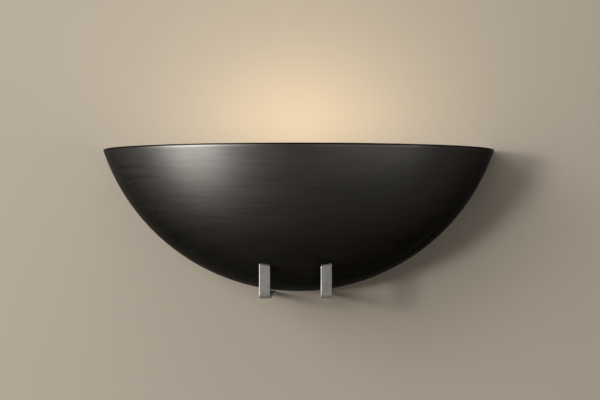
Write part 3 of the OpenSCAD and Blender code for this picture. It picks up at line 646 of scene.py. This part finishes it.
# How wide the broken edges of each node are, in millimetres. The wide ones get a segment more.
WIDE_EDGE = 0.4
BROKEN_EDGES = {
    "finger_pads": 0.15, "hanging_strap": 0.25, "wall_plate": 0.3, "lamp_arm": 0.3,
    "lamp_bracket": 0.25, "terminal_shield": 0.2, "terminal_block": 0.4, "cable_grommet": 0.6,
    "reflector": 0.15, "left_lampholder": 0.5, "right_lampholder": 0.5, "stud_nuts": 0.2,
    "plate_nuts": 0.2, "bracket_nuts": 0.2, "earth_nut": 0.2, "stud_washers": 0.12,
    "earth_washer": 0.12, "bowl_studs": 0.2, "plate_studs": 0.2, "earth_stud": 0.2,
    "terminal_screws": 0.08, "block_screws": 0.12, "bracket_screws": 0.15, "holder_screws": 0.12,
    "reflector_rivets": 0.2, "terminal_inserts": 0.08, "earth_tag": 0.1, "fixed_contact": 0.2,
    "sprung_contact": 0.2, "rear_terminal": 0.15, "lead_ferrules": 0.15, "lamp_caps": 0.35,
    "lamp_contacts": 0.08, "lamp_tube": 0.25,
}

make_bowl()
for name in ("left_finger", "right_finger"):
    edged(name, FINGER_ROUND, 4, finger_edge)
for name, width in BROKEN_EDGES.items():
    edged(name, width * MM, 3 if width > WIDE_EDGE else 2)
for name in ("live_lead", "neutral_lead", "earth_lead", "filament"):
    rounded(name)

spring = rounded("contact_spring", 2)
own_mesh(spring)

# The filament's supports are thin wires, which the CAD's own mesh shows well enough.
supports = frame["nodes"]["filament_supports"]
supports.data.materials.clear()
supports.data.materials.append(FINISH_OF["filament_supports"])


# Stage, light and camera


def stage_colour(name, colour):
    """Dull, slightly uneven paint. Gives its graph."""
    g = Graph(name)
    mottled = g.mixed(g.noise(g.place(), 3, 5), colour, [c * 0.93 for c in colour])
    g.surface(mottled, 0.85, Specular_IOR_Level=0.0)
    return g


def one_sided(g):
    """Makes a surface clear when it is seen from its back."""
    behind = g.add("ShaderNodeNewGeometry").outputs["Backfacing"]
    clear = g.add("ShaderNodeBsdfTransparent").outputs[0]
    mix = g.add("ShaderNodeMixShader")
    g.links.new(behind, mix.inputs[0])
    g.links.new(g.shader.outputs[0], mix.inputs[1])
    g.links.new(clear, mix.inputs[2])
    g.links.new(mix.outputs[0], g.output.inputs["Surface"])


def stage_plane(name, corners, material):
    mesh = bpy.data.meshes.new(name)
    mesh.from_pydata(corners, [], [(0, 1, 2, 3)])
    made = add_object(name, mesh, material)
    return made


def make_wall():
    """The wall behind the light. It throws no shadow and is clear from behind."""
    paint = stage_colour("wall_plaster", (0.42, 0.376, 0.313))
    one_sided(paint)
    corners = [(-WALL_HALF, FLOOR_Z), (WALL_HALF, FLOOR_Z), (WALL_HALF, WALL_TOP), (-WALL_HALF, WALL_TOP)]
    wall = stage_plane("wall", [(x, WALL_Y, z) for x, z in corners], paint.material)
    wall.visible_shadow = False


def make_floor():
    paint = stage_colour("floor_pale", (0.46, 0.44, 0.41))
    corners = [
        (-FLOOR_HALF, FLOOR_FRONT), (FLOOR_HALF, FLOOR_FRONT),
        (FLOOR_HALF, FLOOR_BACK), (-FLOOR_HALF, FLOOR_BACK),
    ]
    stage_plane("floor", [(x, y, FLOOR_Z) for x, y in corners], paint.material)


def area_light(name, size, power, colour):
    data = bpy.data.lights.new(name, "AREA")
    data.shape = "RECTANGLE"
    data.size, data.size_y = size
    data.energy = power
    data.color = colour
    light = bpy.data.objects.new(name, data)
    COLLECTION.objects.link(light)
    return light


def soft_light(name, azimuth, elevation, distance, size, power, colour=(1, 1, 1)):
    """An area light turned to the bowl, with its distance and size in metres and its angles in degrees.

    Its azimuth is from straight ahead to the left, and its elevation is above level.
    """
    a, e = math.radians(azimuth), math.radians(elevation)
    offset = Vector((-math.sin(a) * math.cos(e), -math.cos(a) * math.cos(e), math.sin(e))) * distance
    light = area_light(name, size, power, colour)
    light.location = LIT_POINT + offset
    light.rotation_euler = (-offset).to_track_quat("-Z", "Y").to_euler()
    return light


def reflection_light(*settings):
    """A soft light that only shows in shiny surfaces."""
    soft_light(*settings).visible_diffuse = False


def upward_glow(name, offset, size, power, colour):
    """Warm light out of the bowl's mouth, which the lamp and the enamel throw up the wall."""
    light = area_light(name, size, power, colour)
    light.location = LAMP + Vector(offset)
    light.rotation_euler = (math.pi, 0, 0)
    light.visible_camera = False
    light.visible_glossy = False


def make_lights():
    soft_light("key", 36, 4, 2.4, (0.40, 0.40), 25, (1.0, 0.97, 0.93))
    room = soft_light("room_window", 50, 20, 3.0, (1.8, 1.8), 52, (1.0, 0.98, 0.95))
    room.visible_glossy = False
    reflection_light("left_screen", 62.5, -13.5, 1.5, (0.92, 1.44), 47, (1.0, 0.985, 0.965))
    reflection_light("right_strip", -45, -26, 1.5, (1.6, 0.12), 3.5, (1.0, 0.98, 0.95))
    reflection_light("right_card", -66, 0, 1.5, (0.15, 0.6), 1.8, (1.0, 0.98, 0.95))
    soft_light("overhead", 10, 68, 1.9, (1.2, 1.2), 4.5, (1.0, 0.99, 0.97))
    behind = soft_light("behind", 180, 0, 1.6, (1.2, 1.2), 3.5)
    behind.data.spread = math.radians(50)
    upward_glow("lamp_glow", (0, 0, 7 * MM), (70 * MM, 6 * MM), 0.10, (1.0, 0.74, 0.42))
    upward_glow("bowl_glow", (0, -15 * MM, 13 * MM), (240 * MM, 70 * MM), 0.23, (1.0, 0.80, 0.54))


def make_world():
    """A grey room, lighter above and to the left."""
    world = bpy.data.worlds.new("studio")
    bpy.context.scene.world = world
    world.use_nodes = True
    nodes = world.node_tree.nodes
    links = world.node_tree.links
    where = nodes.new("ShaderNodeTexCoord")
    lean = nodes.new("ShaderNodeVectorMath")
    lean.operation = "DOT_PRODUCT"
    lean.inputs[1].default_value = (-0.25, 0, 1)
    height = nodes.new("ShaderNodeMapRange")
    height.inputs["From Min"].default_value = -1
    ramp = nodes.new("ShaderNodeValToRGB")
    for stop, place, grey in zip(ramp.color_ramp.elements, (0.25, 1.0), (0.04, 0.55)):
        stop.position = place
        stop.color = (grey, grey, grey, 1)
    links.new(where.outputs["Generated"], lean.inputs[0])
    links.new(lean.outputs["Value"], height.inputs["Value"])
    links.new(height.outputs["Result"], ramp.inputs["Fac"])
    links.new(ramp.outputs["Color"], nodes["Background"].inputs["Color"])


def make_camera():
    camera = bpy.data.objects.new("camera", bpy.data.cameras.new("camera"))
    COLLECTION.objects.link(camera)
    camera.data.sensor_width = SENSOR_W
    camera.data.lens = SENSOR_W * FOCAL_PX / PHOTO_W
    camera.location = CAMERA_AT
    camera.rotation_euler = (math.pi / 2, 0, CAMERA_YAW)
    bpy.context.scene.camera = camera


make_wall()
make_floor()
make_lights()
make_world()
make_camera()
bpy.context.scene.view_settings.view_transform = "Standard"
